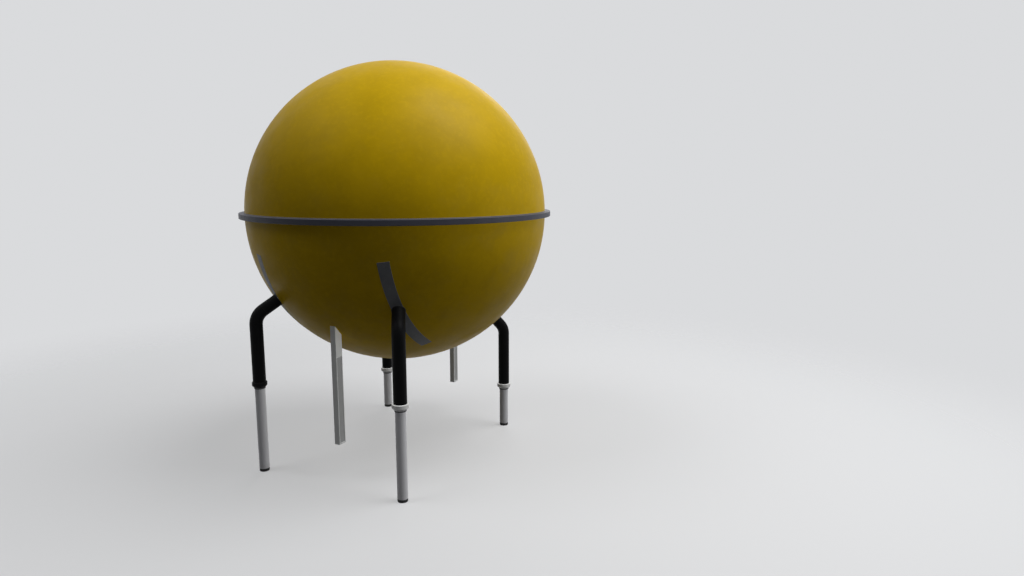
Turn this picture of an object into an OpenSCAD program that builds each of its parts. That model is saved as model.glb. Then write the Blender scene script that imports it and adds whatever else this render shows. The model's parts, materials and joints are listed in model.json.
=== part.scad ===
// Spherical unmanned aerial vehicle standing on four telescopic legs.
// Millimetres. Z = 0 is the floor under the feet, the sphere's axis is X = Y = 0.
// The front is -Y and the craft's own left is +X.

/* [Sphere] */
// Outer radius of the spherical hull
sphere_r = 600; // [520:5:680]
// Thickness of the two dome shells
shell_t = 8; // [6:0.5:12]
// How far each dome's joint flange reaches inwards from its shell
flange_w = 26; // [18:1:40]
// Thickness of a dome's joint flange
flange_t = 6; // [4:0.5:10]

/* [Equator ring] */
// How far the ring stands out from the sphere
ring_out = 22; // [12:1:40]
// Height of the ring's outer band
ring_h = 20; // [16:1:40]
// Thickness of the web clamped between the dome flanges
web_t = 6; // [4:0.5:10]
// Chamfer on the band's outer edges
ring_chamfer = 1.2; // [0.5:0.1:3]

/* [Leg rails] */
// Distance of each rail's middle plane from the craft's centre plane
rail_x = 272; // [230:1:320]
// Width of a rail
rail_w = 38; // [34:1:50]
// Thickness of a rail
rail_t = 4.5; // [3:0.25:5]
// How far a rail stands out from the dome
rail_out = 0.5; // [0.2:0.1:1]
// Angle below the equator at which a rail begins
rail_top_angle = 14.5; // [12:0.5:20]
// Angle below the equator at which a rail ends
rail_end_angle = 62; // [61:0.5:70]

/* [Legs] */
// Angle along its rail at which a front leg is set
front_angle = 36; // [32:0.5:42]
// Angle along its rail at which a rear leg is set
rear_angle = 57.5; // [50:0.5:58.5]
// Distance from the sphere to the knee, along the arm
leg_reach = 100; // [90:1:130]
// Outer diameter of the bent leg tube
tube_d = 48; // [44:1:54]
// Centreline radius of the knee bend
bend_r = 62; // [50:1:80]
// Drop from the knee's corner to the gland's lower face
leg_drop = 277; // [260:1:330]
// Length of the front rods' stretch in view, with foot and wiper
rod_out = 336; // [300:1:380]
// Diameter of the sliding rod
rod_d = 38; // [34:1:40]
// Length of rod held inside the tube and gland
rod_in = 130; // [90:5:150]
// Diameter of an arm's spigot through rail and shell
spigot_d = 32; // [26:1:33]
// Length of that spigot inside the sphere, past the shell
spigot_in = 6; // [3:1:12]
// Length of the spigot in the mouth of the bent tube
mouth_in = 4; // [2:0.5:6]
// Wall of the spigots
spigot_wall = 4; // [2:0.5:6]

/* [Glands and feet] */
// Height of a gland ring
gland_h = 22; // [18:1:28]
// Height over which a gland ring tapers in at its lower end
gland_taper = 8; // [5:0.5:12]
// Step of the three white gland rings beyond their tubes
gland_step_white = 6; // [4:0.5:8]
// Round of their upper edge
gland_round_white = 1.5; // [1:0.25:4]
// Step of the front right leg's black gland ring beyond its tube
gland_step_black = 4; // [4:0.5:8]
// Round of its upper edge
gland_round_black = 3.75; // [1:0.25:4]
// Height of the wiper ring below a gland
wiper_h = 5; // [4:0.5:12]
// Wall of the wiper ring outside the rod
wiper_wall = 2.4; // [2:0.2:5]
// Height of the wiper's lip, which snaps into a groove and holds the rod
lip_h = 3; // [2:0.25:3.5]
// Depth of that groove in the rod
groove_deep = 1; // [0.6:0.1:2]
// Height of a rubber foot
foot_h = 12; // [8:1:20]
// Edge round of a foot
foot_round = 2.5; // [1:0.25:4]

/* [Masts] */
// Distance from the sphere's side to a mast's middle
mast_inset = 162; // [145:1:200]
// Width of a mast across the craft
mast_w = 23; // [20:1:34]
// Depth of a mast along the craft
mast_d = 36; // [32:1:48]
// Length of a mast in view when it is let down
mast_out = 431; // [400:1:480]
// Length of a mast's plain upper part in view
mast_plain = 97; // [60:1:140]
// Width of the frame round an inset panel
panel_frame = 4; // [3:0.5:10]
// Depth of the pocket that takes a panel
pocket_deep = 3; // [2:0.25:5]
// Thickness of an inset panel
panel_t = 2; // [1:0.25:3]
// Gap round a panel in its pocket
panel_gap = 1.2; // [0.4:0.1:2]
// Edge chamfer of a mast
mast_chamfer = 1; // [0.5:0.25:2]
// Thickness of the stop plate on a mast's head
stop_t = 8; // [5:1:14]
// How far the stop plate reaches past the mast
stop_w = 6; // [4:0.5:8]
// Height of the guide sleeve above the sphere's surface
guide_h = 170; // [120:5:200]
// Wall of the guide sleeve
guide_wall = 5; // [3:0.5:8]
// Width of the flange round the guide's foot
guide_flange = 18; // [12:1:26]
// Thickness of that flange
guide_flange_t = 4; // [3:0.5:6]

/* [Power pack] */
// Radius of the plain block for the power pack
pack_r = 200; // [150:5:240]
// Height of that block
pack_h = 240; // [160:5:300]
// Chamfer on the block's top edge
pack_chamfer = 12; // [5:1:20]

/* [Clearances] */
// Gap at a seat between fixed pieces
seat_gap = 0.3; // [0.2:0.05:0.5]
// Gap round a mast in its guide
slide_gap = 1; // [0.6:0.1:1.5]
// Gap round a mast in the dome's slot
slot_gap = 2; // [1.5:0.1:3]

/* [Hidden] */
$fn = 120;

// Legs: name, side (+1 is left), end (+1 is rear), angle along the rail,
// the gland's step beyond the tube, its upper edge's round, its colour
NAME = 0; SIDE = 1; END = 2; ANGLE = 3; STEP = 4; ROUND = 5; TINT = 6;
BLACK = [0.05, 0.05, 0.05];
WHITE = [0.90, 0.90, 0.90];
LEGS = [
    ["front_right", -1, -1, front_angle, gland_step_black, gland_round_black, BLACK],
    ["front_left",   1, -1, front_angle, gland_step_white, gland_round_white, WHITE],
    ["rear_right",  -1,  1, rear_angle,  gland_step_white, gland_round_white, WHITE],
    ["rear_left",    1,  1, rear_angle,  gland_step_white, gland_round_white, WHITE]
];
// Masts: name, end (+1 is rear)
MASTS = [["front", -1], ["rear", 1]];
// Panels: name, side (+1 is left)
PANEL_SIDES = [["right", -1], ["left", 1]];

// Radius of the circle in which a rail's middle plane cuts the sphere
rail_plane_r = sqrt(pow(sphere_r, 2) - pow(rail_x, 2));
// A leg's arm runs straight out from the sphere's centre. dip is its angle
// below the equator, heading its compass angle from +X.
function dip(angle) = asin(rail_plane_r * sin(angle) / sphere_r);
function heading(leg) =
    atan2(leg[END] * rail_plane_r * cos(leg[ANGLE]), leg[SIDE] * rail_x);
knee_r = sphere_r + leg_reach;
function knee_out(angle) = knee_r * cos(dip(angle));
function knee_down(angle) = knee_r * sin(dip(angle));
function gland_bottom(angle) = knee_down(angle) + leg_drop;
// Distance from the knee's corner to where its bend meets the straights
function tangent(angle) = bend_r * tan((90 - dip(angle)) / 2);

// Height of the sphere's centre: the front rods stand out by rod_out, and
// the rear rods are pushed in until all four feet are on the floor
centre_z = gland_bottom(front_angle) + rod_out;
inner_r = sphere_r - shell_t;
mast_y = sphere_r - mast_inset;
bore_d = rod_d + 2 * seat_gap;
groove_r = rod_d / 2 - groove_deep;
// Depth below the centre of a sphere of radius r, over the mast's middle
function below(r) = sqrt(pow(r, 2) - pow(mast_y, 2));
mast_bottom = -below(sphere_r) - mast_out;
guide_top = -below(sphere_r) + guide_h;
panel_top = -below(sphere_r) - mast_plain;
panel_bottom = mast_bottom + panel_frame;
panel_d = mast_d - 2 * panel_frame;
// A size well past the sphere, and how far a cut runs past its face
far = 2 * (sphere_r + ring_out);
past = seat_gap;

// Hull

// Half a spherical shell with an inward flange, above z = 0
module half_shell() {
    difference() {
        sphere(r = sphere_r, $fn = 240);
        sphere(r = inner_r, $fn = 240);
        translate([-far, -far, -2 * far + web_t / 2]) cube(2 * far);
    }
    translate([0, 0, web_t / 2]) difference() {
        // the flange's rim lies inside the shell's wall
        cylinder(r = inner_r + shell_t / 2, h = flange_t, $fn = 240);
        translate([0, 0, -past])
            cylinder(r = inner_r - flange_w, h = flange_t + 2 * past, $fn = 240);
    }
}

module upper_dome() {
    color([0.78, 0.63, 0.06]) translate([0, 0, centre_z]) half_shell();
}

module lower_dome() {
    color([0.78, 0.63, 0.06]) translate([0, 0, centre_z]) difference() {
        mirror([0, 0, 1]) half_shell();
        for (leg = LEGS) {
            rail_band(leg, sphere_r - rail_t + rail_out - seat_gap,
                sphere_r + shell_t, seat_gap);
            along_arm(leg) translate([0, 0, inner_r - shell_t])
                cylinder(d = spigot_d + 2 * seat_gap, h = 3 * shell_t);
        }
        for (mast = MASTS) mast_bar(mast, -sphere_r, 0, slot_gap);
    }
}

module equator_ring() {
    band_r = sphere_r + ring_out;
    color([0.42, 0.42, 0.46]) translate([0, 0, centre_z])
        rotate_extrude($fn = 240) polygon([
            [inner_r - flange_w, -web_t / 2], [sphere_r + seat_gap, -web_t / 2],
            [sphere_r + seat_gap, -ring_h / 2], [band_r - ring_chamfer, -ring_h / 2],
            [band_r, -ring_h / 2 + ring_chamfer], [band_r, ring_h / 2 - ring_chamfer],
            [band_r - ring_chamfer, ring_h / 2], [sphere_r + seat_gap, ring_h / 2],
            [sphere_r + seat_gap, web_t / 2], [inner_r - flange_w, web_t / 2]]);
}

// Leg rails

// The stretch of a spherical layer that a rail fills, grown by gap all round.
// Angles run down from the equator in the rail's own plane.
module rail_band(leg, r0, r1, gap) {
    grow = gap / rail_plane_r * 180 / PI;
    a0 = rail_top_angle - grow;
    a1 = rail_end_angle + grow;
    intersection() {
        difference() {
            sphere(r = r1, $fn = 240);
            sphere(r = r0, $fn = 240);
        }
        translate([leg[SIDE] * rail_x - rail_w / 2 - gap, 0, 0])
            rotate([90, 0, 90]) linear_extrude(rail_w + 2 * gap)
                polygon([[0, 0], for (a = [a0, (a0 + a1) / 2, a1])
                    [leg[END] * far * cos(a), -far * sin(a)]]);
    }
}

module rail(leg) {
    color([0.42, 0.42, 0.46]) translate([0, 0, centre_z]) difference() {
        rail_band(leg, sphere_r - rail_t + rail_out, sphere_r + rail_out, 0);
        along_arm(leg) translate([0, 0, inner_r])
            cylinder(d = spigot_d + 2 * seat_gap, h = 3 * shell_t);
    }
}

// Legs

// From the sphere's centre, Z along the leg's arm
module along_arm(leg) {
    rotate([0, 90 + dip(leg[ANGLE]), heading(leg)]) children();
}

// A round bar of diameter d: the knee bend and the upright below it, which
// runs down to depth z1 below the sphere's centre
module bent_bar(leg, d, z1) {
    a = leg[ANGLE];
    fall = knee_down(a) + tangent(a);
    rotate([0, 0, heading(leg)]) translate([knee_out(a) - bend_r, 0, -fall]) {
        rotate([90, 0, 0]) rotate_extrude(angle = 90 - dip(a))
            translate([bend_r, 0]) circle(d = d);
        translate([bend_r, 0, fall - z1]) cylinder(d = d, h = z1 - fall);
    }
}

// Places its children on the leg's vertical axis, at depth z below the centre
module on_leg(leg, z) {
    translate([0, 0, centre_z]) rotate([0, 0, heading(leg)])
        translate([knee_out(leg[ANGLE]), 0, -z]) children();
}

// The straight root of an arm: a saddle on the rail, a spigot through rail and
// shell, and a short spigot in the mouth of the bent tube
module leg_root(leg) {
    mouth = knee_r - tangent(leg[ANGLE]) - seat_gap;
    color([0.04, 0.04, 0.04]) translate([0, 0, centre_z]) difference() {
        union() {
            difference() {
                along_arm(leg) translate([0, 0, inner_r])
                    cylinder(d = tube_d, h = mouth - inner_r);
                sphere(r = sphere_r + rail_out + seat_gap, $fn = 240);
            }
            along_arm(leg) {
                translate([0, 0, inner_r - spigot_in])
                    cylinder(d = spigot_d, h = spigot_in + shell_t + leg_reach / 2);
                translate([0, 0, mouth - mouth_in])
                    cylinder(d = bore_d - 2 * seat_gap, h = 2 * mouth_in);
            }
        }
        along_arm(leg) translate([0, 0, inner_r - spigot_in - past])
            cylinder(d = spigot_d - 2 * spigot_wall, h = knee_r);
    }
}

module leg_tube(leg) {
    tube_end = gland_bottom(leg[ANGLE]) - gland_h;
    color([0.04, 0.04, 0.04]) translate([0, 0, centre_z]) difference() {
        bent_bar(leg, tube_d, tube_end);
        bent_bar(leg, bore_d, tube_end + past);
    }
}

// A ring round the rod: its upper outer edge is rounded, and its lower end
// tapers in to radius r_low over a height of taper
module rod_ring(r, r_low, h, taper, edge) {
    rotate_extrude() difference() {
        union() {
            polygon([[0, 0], [r_low, 0], [r, taper], [r, h - edge], [r - edge, h], [0, h]]);
            translate([r - edge, h - edge]) circle(r = edge, $fn = 32);
        }
        translate([0, -past]) square([bore_d / 2, h + 2 * past]);
    }
}

module gland(leg) {
    color(leg[TINT]) on_leg(leg, gland_bottom(leg[ANGLE]))
        rod_ring(tube_d / 2 + leg[STEP], rod_d / 2 + wiper_wall, gland_h, gland_taper, leg[ROUND]);
}

module wiper(leg) {
    r = rod_d / 2 + wiper_wall;
    lip_r = groove_r + seat_gap;
    color([0.25, 0.25, 0.26]) on_leg(leg, gland_bottom(leg[ANGLE]) + wiper_h) {
        rod_ring(r, r - wiper_wall / 4, wiper_h, wiper_h / 3, wiper_wall / 4);
        rotate_extrude() translate([lip_r, 0])
            square([bore_d / 2 + wiper_wall / 4 - lip_r, lip_h]);
    }
}

// The sliding rod: bare from the foot to the wiper, where the lip's groove is
module leg_rod(leg) {
    r = rod_d / 2;
    top = centre_z - foot_h - gland_bottom(leg[ANGLE]) + rod_in;
    low = top - rod_in - wiper_h - seat_gap;
    high = low + lip_h + 2 * seat_gap;
    color([0.80, 0.80, 0.82]) on_leg(leg, centre_z - foot_h) rotate_extrude()
        polygon([[0, 0], [r, 0], [r, low], [groove_r, low], [groove_r, high],
            [r, high], [r, top], [0, top]]);
}

// A rubber foot, a little narrower than its rod so that clamps pass over it
module foot(leg) {
    r = rod_d / 2 - seat_gap;
    color([0.16, 0.16, 0.16]) on_leg(leg, centre_z) rotate_extrude() {
        translate([0, foot_round]) square([r, foot_h - foot_round]);
        square([r - foot_round, foot_h]);
        intersection() {
            translate([r - foot_round, foot_round]) circle(r = foot_round, $fn = 32);
            square([r, 2 * foot_round]);
        }
    }
}

// Masts

// A mast's bar between two heights above the centre, grown sideways by gap
module mast_bar(mast, z0, z1, gap) {
    translate([-mast_w / 2 - gap, mast[1] * mast_y - mast_d / 2 - gap, z0])
        cube([mast_w + 2 * gap, mast_d + 2 * gap, z1 - z0]);
}

// The mast's section, with chamfered corners
module mast_section() {
    w = mast_w / 2; d = mast_d / 2; c = mast_chamfer;
    polygon([[-w, -d + c], [-w + c, -d], [w - c, -d], [w, -d + c],
        [w, d - c], [w - c, d], [-w + c, d], [-w, d - c]]);
}

module mast(mast) {
    head = guide_top + seat_gap;
    color([0.76, 0.77, 0.76]) translate([0, 0, centre_z]) {
        difference() {
            // the bar ends inside its stop plate
            translate([0, mast[1] * mast_y, mast_bottom])
                linear_extrude(head + stop_t / 2 - mast_bottom) mast_section();
            for (side = [-1, 1])
                translate([side * mast_w / 2 - pocket_deep,
                    mast[1] * mast_y - panel_d / 2, panel_bottom])
                    cube([2 * pocket_deep, panel_d, panel_top - panel_bottom]);
        }
        mast_bar(mast, head, head + stop_t, stop_w);
    }
}

// An inset plate on one side of a mast, lying in its pocket
module mast_panel(mast, side) {
    low = mast_w / 2 - pocket_deep;
    color([0.56, 0.57, 0.57])
        translate([side * (low + panel_t / 2), mast[1] * mast_y,
            centre_z + (panel_top + panel_bottom) / 2])
            cube([panel_t, panel_d - 2 * panel_gap,
                panel_top - panel_bottom - 2 * panel_gap], center = true);
}

// The sleeve inside the dome in which a mast slides, on a curved flange
module mast_guide(mast) {
    seat_r = inner_r - seat_gap;
    color([0.45, 0.45, 0.47]) translate([0, 0, centre_z]) difference() {
        intersection() {
            union() {
                mast_bar(mast, -sphere_r, guide_top, slide_gap + guide_wall);
                difference() {
                    mast_bar(mast, -sphere_r, 0, slide_gap + guide_wall + guide_flange);
                    sphere(r = seat_r - guide_flange_t, $fn = 240);
                }
            }
            sphere(r = seat_r, $fn = 240);
        }
        mast_bar(mast, -far, far, slide_gap);
    }
}

// Power pack

// One plain block for the closed-in power pack, its rim on the lower dome
module power_pack() {
    floor_z = sqrt(pow(inner_r - seat_gap, 2) - pow(pack_r, 2));
    color([0.30, 0.30, 0.32]) translate([0, 0, centre_z - floor_z]) {
        cylinder(r = pack_r, h = pack_h - pack_chamfer);
        translate([0, 0, pack_h - pack_chamfer])
            cylinder(r1 = pack_r, r2 = pack_r - pack_chamfer, h = pack_chamfer);
    }
}

// What is drawn

upper_dome();
lower_dome();
equator_ring();
for (leg = LEGS) {
    rail(leg);
    leg_root(leg);
    leg_tube(leg);
    gland(leg);
    wiper(leg);
    leg_rod(leg);
    foot(leg);
}
for (mast = MASTS) {
    mast(mast);
    mast_guide(mast);
    for (side = PANEL_SIDES)
        mast_panel(mast, side[1]);
}
power_pack();
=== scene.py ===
"""Looks for a spherical unmanned aerial vehicle: finishes, seals, screws, studio and camera.

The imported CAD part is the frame. Lengths are in metres and angles in degrees.
"""

import json
import math

import bmesh
import bpy
from mathutils import Matrix, Vector


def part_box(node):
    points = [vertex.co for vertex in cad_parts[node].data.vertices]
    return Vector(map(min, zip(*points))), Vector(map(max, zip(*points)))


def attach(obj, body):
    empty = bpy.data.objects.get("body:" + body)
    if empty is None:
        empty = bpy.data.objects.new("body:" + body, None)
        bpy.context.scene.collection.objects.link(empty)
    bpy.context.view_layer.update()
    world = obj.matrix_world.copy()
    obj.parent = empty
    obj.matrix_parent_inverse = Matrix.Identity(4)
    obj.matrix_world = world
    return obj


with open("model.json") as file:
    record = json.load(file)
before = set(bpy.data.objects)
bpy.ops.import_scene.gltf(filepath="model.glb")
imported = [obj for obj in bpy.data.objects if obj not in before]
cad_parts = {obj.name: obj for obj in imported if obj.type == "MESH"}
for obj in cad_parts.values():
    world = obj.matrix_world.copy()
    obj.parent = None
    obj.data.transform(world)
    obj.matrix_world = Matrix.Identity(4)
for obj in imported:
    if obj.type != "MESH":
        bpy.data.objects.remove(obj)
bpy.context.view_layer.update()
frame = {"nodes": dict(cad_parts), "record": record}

# Sizes taken from the frame

LEGS = ("front_right", "front_left", "rear_right", "rear_left")
ring_low, ring_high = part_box("equator_ring")
dome_low, dome_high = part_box("upper_dome")
SPHERE_R = (dome_high[0] - dome_low[0]) / 2
CENTRE = Vector((0, 0, (ring_low[2] + ring_high[2]) / 2))
RING_H = ring_high[2] - ring_low[2]
END_BAND = 0.001          # height of the stretch at a tube's end that is measured


def upright_radius(leg):
    """Outer radius of a leg tube, from its lower end."""
    tube = frame["nodes"][f"leg_tube_{leg}"].data
    low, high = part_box(f"gland_{leg}")
    middle = Vector(((low[0] + high[0]) / 2, (low[1] + high[1]) / 2))
    end = min(v.co.z for v in tube.vertices) + END_BAND
    return max((v.co.xy - middle).length for v in tube.vertices if v.co.z < end)


TUBE_R = upright_radius(LEGS[0])

# Driving values

# Camera: where it looks, and how far it stands from the sphere's centre
# to the right, behind and above, in sphere radii
CAM_AZIMUTH = 24.4
CAM_PITCH = 9.2
CAM_RIGHT, CAM_BACK, CAM_UP = 0.775, 4.815, 0.2545
CAM_FIELD = 45.0           # vertical field of view
CAM_SENSOR_W = 36.0        # millimetres
CAM_CLIP_END = 200.0
FRAME_W, FRAME_H = 1024, 576

# Seals and screws
SEAL_R = 0.0016            # ring seal's bead radius
SEAL_OFF = 0.4 * SEAL_R    # from its corner to the bead's middle, out and up
ROOT_SEAL_R = 0.0018       # bead radius of the seal round an arm's root
RAIL_SCREW_D = 0.008       # head of a rail's screw
RAIL_SCREWS = 6            # places for a screw along one rail
RAIL_SCREW_INSET = 0.020   # from a rail's ends to its outermost screws
RAIL_SCREW_CLEAR = 0.034   # least distance from a screw to its arm's axis
PANEL_SCREW_D = 0.004      # head of a mast panel's screw
PANEL_SCREW_INSET = 0.006  # from a panel's edges to its screws
HEAD_PROUD = 0.0003        # how far screw heads stand out

# Fineness of the meshes
RING_SEAL_SIDES = 256
ROOT_SEAL_SIDES = 96
BEAD_SIDES = 12            # round the section of any bead
SCREW_SIDES = 18
SHARP_ANGLE = 35           # edges that turn by more stay sharp
TOUCHING = 1e-7            # points nearer than this are one

# Ring and rails share one paint: painted shade darkens the ring's copy, painted light makes the
# rails' paler
RING_GREY_PAINTED_SHADE = (0.078, 0.080, 0.101)
RAIL_GREY_PAINTED_LIGHT = (0.152, 0.156, 0.164)

# Studio. The floor looks pale but throws little light up at the object.
BACKDROP = (0.700, 0.708, 0.722)
WORLD_LIGHT = (0.95, 0.97, 1.0)
WORLD_STRENGTH = 0.065
FLOOR_SEEN = (0.70, 0.705, 0.715)
FLOOR_BOUNCE = (0.08, 0.08, 0.082)
FLOOR_R = 14.0
FLOOR_SIDES = 128
FADE_FROM, FADE_TO = 0.9, 3.6   # distances between which the floor fades out

# Lamps: name, place, size, power, and whether they cast shadows. Most of the
# key light casts none, so that the sphere's underside isn't left dark.
LAMPS = [
    ("key", (3.8, 1.6, 8.8), 5.6, 290, True),
    ("key_through", (3.8, 1.6, 8.8), 5.6, 590, False),
    ("side", (4.1, 1.1, 0.9), 1.3, 14, True),
    ("fill", (-4.4, -3.6, 8.5), 5.0, 140, True),
    ("rim", (-1.2, 4.2, 2.8), 2.6, 26, True),
]

# A Mix node's two colours among its inputs, and their blend among its outputs
MIX_A, MIX_B, MIX_OUT = 6, 7, 2


# Node helpers

class Finish:
    """One procedural material, built node by node around its Principled shader."""

    def __init__(self, name, color, roughness, **sockets):
        self.material = bpy.data.materials.new(name)
        self.material.use_nodes = True
        self.tree = self.material.node_tree
        self.shader = self.tree.nodes["Principled BSDF"]
        self.color = color
        self.set("Base Color", (*color, 1))
        self.set("Roughness", roughness)
        for socket, value in sockets.items():
            self.set(socket.replace("_", " "), value)
        self.coords = self.add("ShaderNodeTexCoord").outputs["Object"]
        self.normal = None
        self.material.diffuse_color = (*color, 1)

    def set(self, socket, value):
        """Sets a constant on the shader's own socket."""
        self.shader.inputs[socket].default_value = value

    def add(self, kind, attributes=None, **inputs):
        """Makes a node, sets its attributes and feeds its inputs."""
        node = self.tree.nodes.new(kind)
        for key, value in (attributes or {}).items():
            setattr(node, key, value)
        for key, value in inputs.items():
            self.feed(node.inputs[key.replace("_", " ")], value)
        return node

    def feed(self, socket, value):
        """Links another node's output to a socket, or sets a number on it."""
        if isinstance(value, bpy.types.NodeSocket):
            self.tree.links.new(value, socket)
        else:
            socket.default_value = value

    def noise(self, per_metre, detail=3.0, roughness=0.5, stretch=(1, 1, 1)):
        """Noise with features of 1/per_metre, stretched along the axes."""
        mapping = self.add("ShaderNodeMapping", Vector=self.coords, Scale=stretch)
        return self.add("ShaderNodeTexNoise", Vector=mapping.outputs[0], Scale=per_metre,
                        Detail=detail, Roughness=roughness).outputs["Fac"]

    def bands(self, along, scale, distortion):
        """Wavy bands that follow one another along an axis."""
        return self.add("ShaderNodeTexWave", {"wave_type": "BANDS", "bands_direction": along},
                        Vector=self.coords, Scale=scale, Distortion=distortion,
                        Detail=1.0).outputs["Fac"]

    def height(self):
        """World height of the surface point in metres."""
        return self.add("ShaderNodeSeparateXYZ", Vector=self.coords).outputs["Z"]

    def span(self, value, low, high, to_low=0.0, to_high=1.0):
        """Maps value from low..high to to_low..to_high, clamped."""
        node = self.add("ShaderNodeMapRange", Value=value)
        for socket, number in zip(("From Min", "From Max", "To Min", "To Max"),
                                  (low, high, to_low, to_high)):
            node.inputs[socket].default_value = number
        return node.outputs["Result"]

    def product(self, a, b):
        """Two masks multiplied."""
        node = self.add("ShaderNodeMath", {"operation": "MULTIPLY"})
        self.feed(node.inputs[0], a)
        self.feed(node.inputs[1], b)
        return node.outputs[0]

    def edges(self, radius, low=0.04, high=0.30):
        """A mask that is 1 on outer and inner edges, from the bevel normal."""
        bevel = self.add("ShaderNodeBevel", {"samples": 6}, Radius=radius)
        flat = self.add("ShaderNodeNewGeometry")
        dot = self.add("ShaderNodeVectorMath", {"operation": "DOT_PRODUCT"})
        self.feed(dot.inputs[0], bevel.outputs[0])
        self.feed(dot.inputs[1], flat.outputs["Normal"])
        turned = self.add("ShaderNodeMath", {"operation": "SUBTRACT"})
        turned.inputs[0].default_value = 1.0
        self.feed(turned.inputs[1], dot.outputs["Value"])
        return self.span(turned.outputs[0], low, high)

    def tint(self, mask, color):
        """Blends the base colour towards color where mask is high."""
        mix = self.add("ShaderNodeMix", {"data_type": "RGBA"})
        self.feed(mix.inputs["Factor"], mask)
        below = self.shader.inputs["Base Color"]
        if below.is_linked:
            self.feed(mix.inputs[MIX_A], below.links[0].from_socket)
        else:
            mix.inputs[MIX_A].default_value = (*self.color, 1)
        mix.inputs[MIX_B].default_value = (*color, 1)
        self.feed(below, mix.outputs[MIX_OUT])

    def vary_roughness(self, mask, low, high):
        """Lets the roughness run from low to high with a noise mask."""
        self.feed(self.shader.inputs["Roughness"], self.span(mask, 0.3, 0.7, low, high))

    def bump(self, height, strength, distance):
        """Adds a layer of relief on top of those before it."""
        node = self.add("ShaderNodeBump", Height=height, Strength=strength, Distance=distance)
        if self.normal is not None:
            self.feed(node.inputs["Normal"], self.normal)
        self.normal = node.outputs[0]
        self.feed(self.shader.inputs["Normal"], self.normal)


def shade(color, factor):
    """A colour made darker or lighter by factor."""
    return tuple(min(1.0, c * factor) for c in color)


# Finishes

def hull_paint():
    """Golden paint on a composite shell: orange peel, slow fading, faint dust."""
    gold = (0.580, 0.370, 0.003)
    f = Finish("hull_paint", gold, 0.44, Specular_IOR_Level=0.05)
    f.tint(f.span(f.noise(2.2, 4), 0.42, 0.62, 0, 0.70), shade(gold, 0.84))
    f.tint(f.span(f.noise(11, 6, 0.6), 0.46, 0.62, 0, 0.50), shade(gold, 0.86))
    f.tint(f.span(f.noise(60, 5, 0.6), 0.50, 0.66, 0, 0.34), shade(gold, 1.12))
    dust = f.product(f.span(f.noise(9, 6, 0.65), 0.48, 0.74, 0, 0.22),
                     f.span(f.height(), CENTRE.z + 0.45, CENTRE.z - 0.55, 0, 1))
    f.tint(dust, (0.36, 0.29, 0.11))
    f.vary_roughness(f.noise(14, 4), 0.37, 0.50)
    f.bump(f.noise(210, 2), 0.12, 0.0006)
    return f.material


def grey_metal(name, grey):
    """Blue-grey satin paint with a fine grain, rubbed paler at the edges."""
    f = Finish(name, grey, 0.44, Specular_IOR_Level=0.12)
    f.tint(f.span(f.noise(30, 5), 0.42, 0.70, 0, 0.6), shade(grey, 0.84))
    f.tint(f.product(f.edges(0.0012), f.span(f.noise(60, 4), 0.42, 0.58)), (0.27, 0.27, 0.29))
    f.vary_roughness(f.noise(45, 4), 0.38, 0.52)
    f.bump(f.noise(900, 2), 0.16, 0.0003)
    return f.material


def black_tube():
    """Black powder coat, finely grained, unevenly dusty, rubbed at the edges."""
    black = (0.0022, 0.0022, 0.0025)
    f = Finish("black_tube", black, 0.44, Specular_IOR_Level=0.045)
    f.tint(f.span(f.noise(26, 5), 0.52, 0.80, 0, 0.4), (0.0055, 0.0055, 0.006))
    f.tint(f.product(f.edges(0.0008), f.span(f.noise(90, 4), 0.46, 0.60)), (0.050, 0.050, 0.053))
    f.vary_roughness(f.noise(60, 3), 0.41, 0.52)
    f.bump(f.noise(1300, 2), 0.20, 0.0003)
    return f.material


def polymer(name, color, edge, specular=0.4):
    """A moulded ring: fine matt grain and edges rubbed to another tone."""
    f = Finish(name, color, 0.44, Specular_IOR_Level=specular)
    f.tint(f.span(f.noise(70, 5), 0.45, 0.75, 0, 0.4), shade(color, 0.86))
    f.tint(f.product(f.edges(0.0010), f.span(f.noise(110, 4), 0.44, 0.60)), edge)
    f.vary_roughness(f.noise(90, 3), 0.38, 0.52)
    f.bump(f.noise(1100, 2), 0.18, 0.0003)
    return f.material


def leg_rod():
    """Light satin sliding rod: lengthwise scratches, a little dirt near its foot."""
    light = (0.700, 0.700, 0.722)
    f = Finish("leg_rod", light, 0.38, Specular_IOR_Level=0.2)
    fine = f.noise(700, 3, 0.6, stretch=(1, 1, 0.03))
    f.tint(f.span(fine, 0.50, 0.72, 0, 0.35), shade(light, 0.86))
    f.tint(f.product(f.span(f.height(), 0.05, 0.0, 0, 0.5), f.span(f.noise(55, 5), 0.44, 0.68)),
           (0.40, 0.388, 0.360))
    f.vary_roughness(fine, 0.33, 0.45)
    f.bump(fine, 0.10, 0.0002)
    return f.material


def rubber():
    """Black rubber, matt and dusty."""
    black = (0.020, 0.020, 0.021)
    f = Finish("foot_rubber", black, 0.78, Specular_IOR_Level=0.3)
    f.tint(f.span(f.noise(120, 6, 0.65), 0.46, 0.74, 0, 0.6), (0.070, 0.067, 0.062))
    f.bump(f.noise(900, 3), 0.40, 0.0005)
    return f.material


def mast_paint():
    """Light grey paint on the flat masts, chipped a little at the corners."""
    light = (0.740, 0.750, 0.740)
    f = Finish("mast_body", light, 0.40, Specular_IOR_Level=0.25)
    f.tint(f.span(f.noise(24, 5), 0.44, 0.72, 0, 0.45), shade(light, 0.88))
    f.tint(f.product(f.edges(0.0012), f.span(f.noise(80, 4), 0.50, 0.62)), (0.30, 0.30, 0.30))
    f.vary_roughness(f.noise(50, 4), 0.35, 0.48)
    f.bump(f.noise(1000, 2), 0.14, 0.0003)
    return f.material


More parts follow.
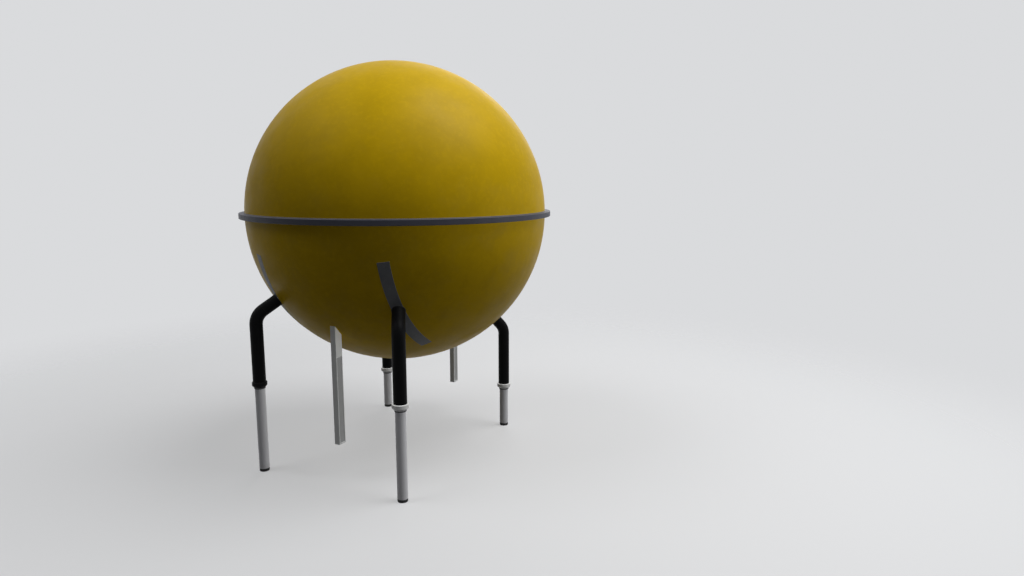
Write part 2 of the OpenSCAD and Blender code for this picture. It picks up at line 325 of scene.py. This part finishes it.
def mast_panel():
    """Grey inset plate with a fine woven grain under a matt coat."""
    grey = (0.380, 0.386, 0.386)
    f = Finish("mast_panel", grey, 0.52, Specular_IOR_Level=0.25)
    cloth = f.product(f.bands("Y", 130.0, 0.4), f.bands("Z", 130.0, 0.4))
    f.tint(f.span(cloth, 0.15, 0.75, 0, 0.5), shade(grey, 0.80))
    f.tint(f.span(f.noise(22, 5), 0.48, 0.74, 0, 0.35), shade(grey, 1.18))
    f.bump(cloth, 0.16, 0.0003)
    f.bump(f.noise(800, 2), 0.12, 0.0003)
    return f.material


def bare_metal(name, color, roughness):
    """Plain machined metal for pieces inside the sphere and the panels' screws."""
    f = Finish(name, color, roughness, Metallic=0.9)
    f.tint(f.span(f.noise(60, 5), 0.44, 0.72, 0, 0.5), shade(color, 0.80))
    f.vary_roughness(f.noise(300, 3, stretch=(1, 1, 0.2)), roughness - 0.06, roughness + 0.08)
    f.bump(f.noise(1200, 2), 0.10, 0.0002)
    return f.material


def make_finishes():
    """Every finish: those of the material slots, the rails' and the ring seals'."""
    return {
        "hull_paint": hull_paint(),
        # The ring's copy of the paint, made darker with painted shade
        "grey_metal": grey_metal("grey_metal", RING_GREY_PAINTED_SHADE),
        "black_tube": black_tube(),
        "black_gland": polymer("black_gland", (0.0028, 0.0028, 0.0032),
                               (0.012, 0.012, 0.0125), 0.06),
        "white_gland": polymer("white_gland", (0.780, 0.780, 0.770), (0.60, 0.60, 0.59)),
        # Dark seal rubber, whose darkness also paints the shade that falls under each gland's
        # collar
        "wiper_ring": polymer("wiper_ring", (0.055, 0.055, 0.058), (0.11, 0.11, 0.112), 0.3),
        "leg_rod": leg_rod(),
        "foot_rubber": rubber(),
        "mast_body": mast_paint(),
        "mast_panel": mast_panel(),
        "guide_metal": bare_metal("guide_metal", (0.42, 0.42, 0.43), 0.35),
        "power_pack": bare_metal("power_pack", (0.12, 0.12, 0.13), 0.5),
        # The rails' copy of the same paint, made paler with painted light
        "rails": grey_metal("rail_metal_painted_light", RAIL_GREY_PAINTED_LIGHT),
        "ring_seals": polymer("ring_seal", (0.120, 0.121, 0.130), (0.20, 0.20, 0.205), 0.3),
    }


def dress_nodes(finishes):
    """Gives every CAD node the finish of its material slot, or the rails' own."""
    for entry in frame["record"]["subparts"]:
        node = frame["nodes"][entry["node"]]
        is_rail = entry["node"].startswith("rail_")
        node.data.materials.clear()
        node.data.materials.append(finishes["rails" if is_rail else entry["material_slot"]])


# Mesh helpers

def around(sides):
    """Angles of a closed turn."""
    return [2 * math.pi * i / sides for i in range(sides)]


def lathe(bm, profile, sides, place):
    """Turns (radius, height) points about Z, then moves them by place."""
    rings = []
    for radius, height in profile:
        turn = around(1 if radius < TOUCHING else sides)
        points = [Vector((radius * math.cos(a), radius * math.sin(a), height)) for a in turn]
        rings.append([bm.verts.new(place @ point) for point in points])
    for low, high in zip(rings, rings[1:]):
        for i in range(sides):
            j = (i + 1) % sides
            corners = [low[i % len(low)], low[j % len(low)],
                       high[j % len(high)], high[i % len(high)]]
            corners = [v for k, v in enumerate(corners) if v not in corners[:k]]
            if len(corners) > 2:
                bm.faces.new(corners)


def bead(bm, major, minor, sides, place):
    """A round bead bent into a circle of radius major."""
    turn = around(BEAD_SIDES)
    section = [(major + minor * math.cos(a), minor * math.sin(a)) for a in turn + turn[:1]]
    lathe(bm, section, sides, place)
    bmesh.ops.remove_doubles(bm, verts=bm.verts, dist=TOUCHING)


def piece(name, bm, finish, body):
    """Makes a smooth mesh object of bm that rides on a CAD body."""
    bmesh.ops.recalc_face_normals(bm, faces=bm.faces)
    mesh = bpy.data.meshes.new(name)
    bm.to_mesh(mesh)
    bm.free()
    mesh.shade_smooth()
    mesh.set_sharp_from_angle(angle=math.radians(SHARP_ANGLE))
    mesh.materials.append(finish)
    thing = bpy.data.objects.new(name, mesh)
    bpy.context.scene.collection.objects.link(thing)
    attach(thing, body)


def facing(point, normal):
    """A placement at point whose Z runs along normal."""
    return Matrix.Translation(point) @ normal.to_track_quat("Z", "Y").to_matrix().to_4x4()


def screw_head(bm, diameter, place):
    """A countersunk head with a socket, just proud of the face it lies in."""
    r = diameter / 2
    lathe(bm, [(r * 0.55, -r * 0.50), (r, -HEAD_PROUD), (r * 0.96, HEAD_PROUD),
               (r * 0.50, HEAD_PROUD), (r * 0.44, -r * 0.30), (0, -r * 0.36)],
          SCREW_SIDES, place)


# Seals and screws

def ring_seals(finish):
    """A thin bead in each corner between the sphere and its ring."""
    bm = bmesh.new()
    for side in (-1, 1):
        up = Vector((0, 0, side * (RING_H / 2 + SEAL_OFF)))
        bead(bm, SPHERE_R + SEAL_OFF, SEAL_R, RING_SEAL_SIDES, Matrix.Translation(CENTRE + up))
    piece("ring_seals", bm, finish, "airframe")


def arm_axis(leg):
    """The direction of a leg's arm, from the middle of its root's surface."""
    root = frame["nodes"][f"leg_root_{leg}"].data
    middle, area = Vector(), 0.0
    for face in root.polygons:
        middle += face.center * face.area
        area += face.area
    return (middle / area - CENTRE).normalized()


def root_seal(leg, finish):
    """The seal round an arm where it stands on its rail and the sphere."""
    axis = arm_axis(leg)
    along = math.sqrt(SPHERE_R ** 2 - TUBE_R ** 2)
    bm = bmesh.new()
    bead(bm, TUBE_R, ROOT_SEAL_R, ROOT_SEAL_SIDES, facing(CENTRE + axis * along, axis))
    piece(f"root_seal_{leg}", bm, finish, "airframe")


def rail_screws(leg, finish):
    """A row of countersunk screws down a rail, clear of the arm's root."""
    low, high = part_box(f"rail_{leg}")
    rail_x = (low[0] + high[0]) / 2
    rail = frame["nodes"][f"rail_{leg}"].data
    outer = max((v.co - CENTRE).length for v in rail.vertices)
    plane_r = math.sqrt(outer ** 2 - rail_x ** 2)
    end = 1 if leg.startswith("rear") else -1
    top = math.asin((CENTRE.z - high[2]) / plane_r)
    bottom = math.asin(min(1.0, (CENTRE.z - low[2]) / plane_r))
    inset = RAIL_SCREW_INSET / plane_r
    axis = arm_axis(leg)
    bm = bmesh.new()
    for i in range(RAIL_SCREWS):
        angle = top + inset + (bottom - top - 2 * inset) * i / (RAIL_SCREWS - 1)
        out = Vector((rail_x, end * plane_r * math.cos(angle), -plane_r * math.sin(angle)))
        if (out - axis * out.dot(axis)).length > RAIL_SCREW_CLEAR:
            screw_head(bm, RAIL_SCREW_D, facing(CENTRE + out, out.normalized()))
    piece(f"rail_screws_{leg}", bm, finish, "airframe")


def panel_screws(end, side, finish):
    """Four small screws at the corners of a mast's inset panel."""
    low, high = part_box(f"mast_panel_{end}_{side}")
    sign = 1 if side == "left" else -1
    face_x = high[0] if sign > 0 else low[0]
    normal = Vector((sign, 0, 0))
    bm = bmesh.new()
    for y in (low[1] + PANEL_SCREW_INSET, high[1] - PANEL_SCREW_INSET):
        for z in (low[2] + PANEL_SCREW_INSET, high[2] - PANEL_SCREW_INSET):
            screw_head(bm, PANEL_SCREW_D, facing(Vector((face_x, y, z)), normal))
    piece(f"panel_screws_{end}_{side}", bm, finish, f"{end}_mast")


# Studio

def seen_directly(tree):
    """A mask that is 1 for rays that show the backdrop: camera, glossy and transmission rays."""
    path = tree.nodes.new("ShaderNodeLightPath")
    seen = path.outputs["Is Camera Ray"]
    for ray in ("Is Glossy Ray", "Is Transmission Ray"):
        either = tree.nodes.new("ShaderNodeMath")
        either.operation = "MAXIMUM"
        tree.links.new(seen, either.inputs[0])
        tree.links.new(path.outputs[ray], either.inputs[1])
        seen = either.outputs[0]
    return seen


def backdrop():
    """A world that looks pale and sheds a faint even light."""
    world = bpy.data.worlds.new("studio")
    bpy.context.scene.world = world
    world.use_nodes = True
    tree = world.node_tree
    light = tree.nodes["Background"]
    light.inputs["Color"].default_value = (*WORLD_LIGHT, 1)
    light.inputs["Strength"].default_value = WORLD_STRENGTH
    seen = tree.nodes.new("ShaderNodeBackground")
    seen.inputs["Color"].default_value = (*BACKDROP, 1)
    mix = tree.nodes.new("ShaderNodeMixShader")
    tree.links.new(seen_directly(tree), mix.inputs[0])
    tree.links.new(light.outputs[0], mix.inputs[1])
    tree.links.new(seen.outputs[0], mix.inputs[2])
    tree.links.new(mix.outputs[0], tree.nodes["World Output"].inputs["Surface"])


def studio_floor():
    """A round pale floor that fades into the backdrop."""
    bpy.ops.mesh.primitive_circle_add(vertices=FLOOR_SIDES, radius=FLOOR_R, fill_type="NGON")
    floor = bpy.context.object
    floor.name = "studio_floor"
    ground = bpy.data.materials.new("studio_floor")
    ground.use_nodes = True
    tree = ground.node_tree
    shader = tree.nodes["Principled BSDF"]
    shader.inputs["Roughness"].default_value = 0.9
    shader.inputs["Specular IOR Level"].default_value = 0.1
    tone = tree.nodes.new("ShaderNodeMix")
    tone.data_type = "RGBA"
    tree.links.new(seen_directly(tree), tone.inputs["Factor"])
    tone.inputs[MIX_A].default_value = (*FLOOR_BOUNCE, 1)
    tone.inputs[MIX_B].default_value = (*FLOOR_SEEN, 1)
    tree.links.new(tone.outputs[MIX_OUT], shader.inputs["Base Color"])
    coords = tree.nodes.new("ShaderNodeTexCoord")
    far = tree.nodes.new("ShaderNodeVectorMath")
    far.operation = "LENGTH"
    tree.links.new(coords.outputs["Object"], far.inputs[0])
    fade = tree.nodes.new("ShaderNodeMapRange")
    fade.interpolation_type = "SMOOTHSTEP"
    fade.inputs["From Min"].default_value = FADE_FROM
    fade.inputs["From Max"].default_value = FADE_TO
    tree.links.new(far.outputs["Value"], fade.inputs["Value"])
    clear = tree.nodes.new("ShaderNodeBsdfTransparent")
    mix = tree.nodes.new("ShaderNodeMixShader")
    tree.links.new(fade.outputs[0], mix.inputs[0])
    tree.links.new(shader.outputs[0], mix.inputs[1])
    tree.links.new(clear.outputs[0], mix.inputs[2])
    tree.links.new(mix.outputs[0], tree.nodes["Material Output"].inputs["Surface"])
    floor.data.materials.append(ground)


def lamp(name, place, size, power, shadow):
    """A soft square lamp aimed at the sphere, with or without shadows."""
    data = bpy.data.lights.new(name, "AREA")
    data.size = size
    data.energy = power
    data.use_shadow = shadow
    thing = bpy.data.objects.new(name, data)
    thing.location = place
    aim = CENTRE - Vector(place)
    thing.rotation_euler = aim.to_track_quat("-Z", "Y").to_euler()
    bpy.context.scene.collection.objects.link(thing)


def camera():
    """The photograph's viewing angle."""
    data = bpy.data.cameras.new("camera")
    data.sensor_width = CAM_SENSOR_W
    data.lens = data.sensor_width * FRAME_H / FRAME_W / (2 * math.tan(math.radians(CAM_FIELD / 2)))
    data.clip_end = CAM_CLIP_END
    thing = bpy.data.objects.new("camera", data)
    turn = Matrix.Rotation(math.radians(CAM_AZIMUTH), 3, "Z")
    thing.location = CENTRE + turn @ (SPHERE_R * Vector((CAM_RIGHT, -CAM_BACK, CAM_UP)))
    thing.rotation_euler = (math.radians(90 - CAM_PITCH), 0, math.radians(CAM_AZIMUTH))
    bpy.context.scene.collection.objects.link(thing)
    bpy.context.scene.camera = thing


# Build

finishes = make_finishes()
dress_nodes(finishes)
ring_seals(finishes["ring_seals"])
for leg in LEGS:
    root_seal(leg, finishes["foot_rubber"])
    rail_screws(leg, finishes["rails"])
for end in ("front", "rear"):
    for side in ("right", "left"):
        panel_screws(end, side, finishes["guide_metal"])
bpy.context.scene.view_settings.view_transform = "Standard"
backdrop()
studio_floor()
for name, place, size, power, shadow in LAMPS:
    lamp(name, place, size, power, shadow)
camera()
